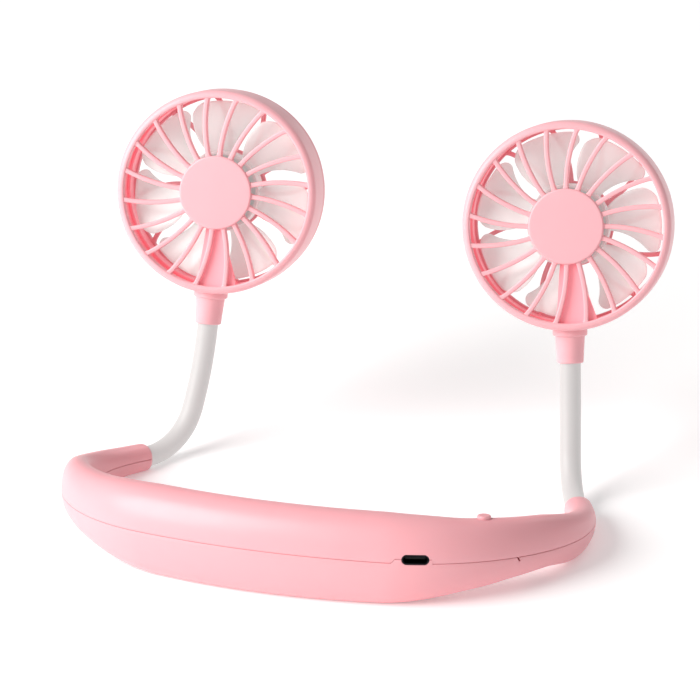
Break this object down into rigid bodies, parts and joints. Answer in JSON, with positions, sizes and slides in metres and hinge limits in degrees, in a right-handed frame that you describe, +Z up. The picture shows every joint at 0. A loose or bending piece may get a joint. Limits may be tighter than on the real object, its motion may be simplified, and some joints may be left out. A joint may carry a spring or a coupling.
{
  "type": "electric neck fan",
  "caption": "Wearable neck fan: a hollow C-shaped band with a charging socket and a button, carrying caged fan heads on bendable necks.",
  "frame": {"origin": "middle of the small flat under the back of the band, on the table that the fan stands on", "axes": "+Z up from the table, +Y forwards from the back of the band towards the noses, +X to the wearer's right"},
  "size_m": [0.207, 0.1599, 0.1279],
  "materials": {
    "pink_shell": "satin moulded pale pink",
    "pink_grille": "satin moulded pale pink",
    "pink_housing": "satin moulded pink",
    "milky_blades": "milky translucent",
    "white_silicone": "matt, slightly greyed white",
    "annealed_wire": "drawn wire",
    "brass": "turned",
    "steel": "nickel plated",
    "ferrite": "sintered, dark",
    "white_plastic": "moulded",
    "black_plastic": "moulded",
    "board": "solder mask",
    "cell_foil": "foil pouch",
    "foam": "closed-cell foam",
    "lead_jacket": "flexible jacket"
  },
  "bodies": {
    "band": {"band_lower_shell": "pink_shell", "band_upper_shell": "pink_shell", "battery_cell": "cell_foil", "battery_leads": "lead_jacket", "battery_pad": "foam", "control_board": "board", "left_fan_leads": "lead_jacket", "left_neck_anchor": "brass", "right_fan_leads": "lead_jacket", "right_neck_anchor": "brass", "shell_screws": "steel", "switch_body": "black_plastic", "usb_socket_shell": "steel", "usb_socket_tongue": "black_plastic"},
    "left_neck": {"left_neck_sleeve": "white_silicone", "left_neck_core": "annealed_wire", "left_neck_leads": "lead_jacket"},
    "left_neck_top": {"left_swivel_pin": "brass"},
    "left_head": {"left_stem_collar": "pink_shell", "left_front_grille": "pink_grille", "left_rear_housing": "pink_housing", "left_motor_can": "steel", "left_motor_bushing": "brass", "left_motor_magnets": "ferrite", "left_motor_end_cap": "white_plastic", "left_motor_leads": "lead_jacket"},
    "left_impeller": {"left_impeller": "milky_blades", "left_motor_shaft": "steel", "left_motor_armature": "ferrite"},
    "right_neck": {"right_neck_sleeve": "white_silicone", "right_neck_core": "annealed_wire", "right_neck_leads": "lead_jacket"},
    "right_neck_top": {"right_swivel_pin": "brass"},
    "right_head": {"right_stem_collar": "pink_shell", "right_front_grille": "pink_grille", "right_rear_housing": "pink_housing", "right_motor_can": "steel", "right_motor_bushing": "brass", "right_motor_magnets": "ferrite", "right_motor_end_cap": "white_plastic", "right_motor_leads": "lead_jacket"},
    "right_impeller": {"right_impeller": "milky_blades", "right_motor_shaft": "steel", "right_motor_armature": "ferrite"},
    "power_button": {"power_button": "pink_shell", "switch_plunger": "white_plastic"}
  },
  "joints": [
    {"name": "left_neck_bend", "type": "hinge", "parent": "band", "child": "left_neck", "pos_m": [-0.07593, 0.09576, 0.00623], "axis": [0.8742, -0.4744, 0.1036], "range_deg": [-35, 35], "deforming": ["left_neck_sleeve", "left_neck_core", "left_neck_leads"]},
    {"name": "left_head_tilt", "type": "hinge", "parent": "left_neck", "child": "left_neck_top", "pos_m": [-0.07037, 0.11082, 0.02982], "axis": [0.9825, 0.1612, -0.093], "range_deg": [-30, 30], "deforming": ["left_neck_sleeve", "left_neck_core", "left_neck_leads"]},
    {"name": "left_head_swivel", "type": "hinge", "parent": "left_neck_top", "child": "left_head", "pos_m": [-0.0693, 0.11594, 0.04449], "axis": [0.0432, 0.2885, 0.9565], "range_deg": [-90, 90]},
    {"name": "left_impeller_spin", "type": "hinge", "parent": "left_head", "child": "left_impeller", "pos_m": [-0.06722, 0.12984, 0.0906], "axis": [-0.181, 0.9438, -0.2765], "continuous": true},
    {"name": "right_neck_bend", "type": "hinge", "parent": "band", "child": "right_neck", "pos_m": [0.07602, 0.09576, 0.00624], "axis": [0.8746, 0.4799, -0.0688], "range_deg": [-35, 35], "deforming": ["right_neck_sleeve", "right_neck_core", "right_neck_leads"]},
    {"name": "right_head_tilt", "type": "hinge", "parent": "right_neck", "child": "right_neck_top", "pos_m": [0.07075, 0.11083, 0.02985], "axis": [0.9713, 0.2377, 0.0126], "range_deg": [-30, 30], "deforming": ["right_neck_sleeve", "right_neck_core", "right_neck_leads"]},
    {"name": "right_head_swivel", "type": "hinge", "parent": "right_neck_top", "child": "right_head", "pos_m": [0.0693, 0.11594, 0.04449], "axis": [-0.0828, 0.2878, 0.9541], "range_deg": [-90, 90]},
    {"name": "right_impeller_spin", "type": "hinge", "parent": "right_head", "child": "right_impeller", "pos_m": [0.06531, 0.12981, 0.09048], "axis": [-0.2232, 0.9277, -0.2992], "continuous": true},
    {"name": "power_button_press", "type": "slide", "parent": "band", "child": "power_button", "axis": [0, -0.1492, -0.9888], "range_m": [0, 0.0005], "stiffness_N_per_m": 600}
  ]
}
